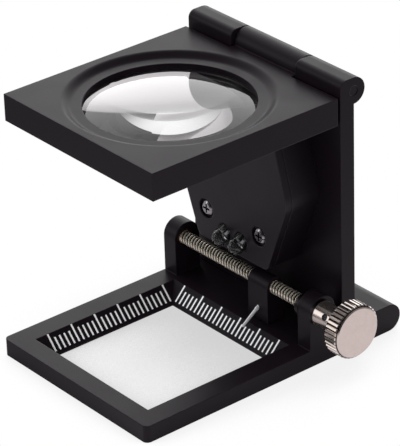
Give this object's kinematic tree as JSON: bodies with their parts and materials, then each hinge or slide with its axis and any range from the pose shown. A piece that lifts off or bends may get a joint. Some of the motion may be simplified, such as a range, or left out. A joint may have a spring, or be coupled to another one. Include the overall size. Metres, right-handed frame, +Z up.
{
  "type": "folding desk magnifier",
  "caption": "Folding desk magnifier: square lens plate hinged on a lit column over a graduated window, with a knurled screw that drives a pointer needle.",
  "frame": {"origin": "centre of the square window, on the underside of the base", "axes": "+X along the pointer screw towards its knob, +Y from the window back to the column and hinges, +Z up from the desk to the lens plate"},
  "size_m": [0.0477, 0.0555, 0.0505],
  "materials": {
    "black_paint": "matt black paint on die-cast metal",
    "black_ring": "black anodised, turned",
    "lens_glass": "clear polished",
    "lamp_plastic": "fine matt black moulding",
    "switch_plastic": "ribbed black moulding",
    "dark_screw": "dark nickel, turned",
    "led_clear": "water clear epoxy",
    "board_green": "solder mask on glass laminate",
    "cell_steel": "pressed steel cup",
    "contact_spring": "nickel-plated spring strip",
    "bush_brass": "turned",
    "screw_nickel": "bright, warm plating over brass",
    "knob_nickel": "satin face, bright knurl",
    "pin_steel": "drawn wire and pressed strip"
  },
  "bodies": {
    "base": {"base_plate": "black_paint", "screw_bushes": "bush_brass"},
    "column": {"column": "black_paint", "upper_hinge_pin": "pin_steel", "lower_hinge_pin": "pin_steel", "lamp_body": "lamp_plastic", "lamp_cover": "lamp_plastic", "cover_screws": "dark_screw", "body_screws": "dark_screw", "led_left": "led_clear", "led_right": "led_clear", "circuit_board": "board_green", "battery_cells": "cell_steel", "rear_contact": "contact_spring", "front_contact": "contact_spring", "switch_body": "lamp_plastic"},
    "lens_plate": {"lens_frame": "black_paint", "lens": "lens_glass", "lens_retaining_ring": "black_ring"},
    "pointer_screw": {"lead_screw": "screw_nickel", "knob": "knob_nickel", "knob_grub_screw": "dark_screw", "thrust_washers": "dark_screw", "retaining_clip": "pin_steel"},
    "pointer_carriage": {"carriage": "black_paint", "needle": "pin_steel"},
    "switch": {"switch_slider": "switch_plastic"}
  },
  "joints": [
    {"name": "column_fold", "type": "hinge", "parent": "base", "child": "column", "pos_m": [0, 0.03425, 0.0025], "axis": [-1, 0, 0], "range_deg": [0, 270]},
    {"name": "lens_fold", "type": "hinge", "parent": "column", "child": "lens_plate", "pos_m": [0, 0.0264, 0.0481], "axis": [-1, 0, 0], "range_deg": [0, 270]},
    {"name": "carriage_travel", "type": "slide", "parent": "base", "child": "pointer_carriage", "axis": [1, 0, 0], "range_m": [-0.0178, 0.0072]},
    {"name": "knob_turn", "type": "hinge", "parent": "base", "child": "pointer_screw", "pos_m": [0, 0.0186, 0.0099], "axis": [1, 0, 0], "range_deg": [-3703.4, 9154.8]},
    {"name": "switch_slide", "type": "slide", "parent": "column", "child": "switch", "axis": [0.2631, 0, 0.9648], "range_m": [0, 0.0018]}
  ],
  "couplings": [
    {"joint": "knob_turn", "follows": "carriage_travel", "rad_per_m": -8976}
  ]
}
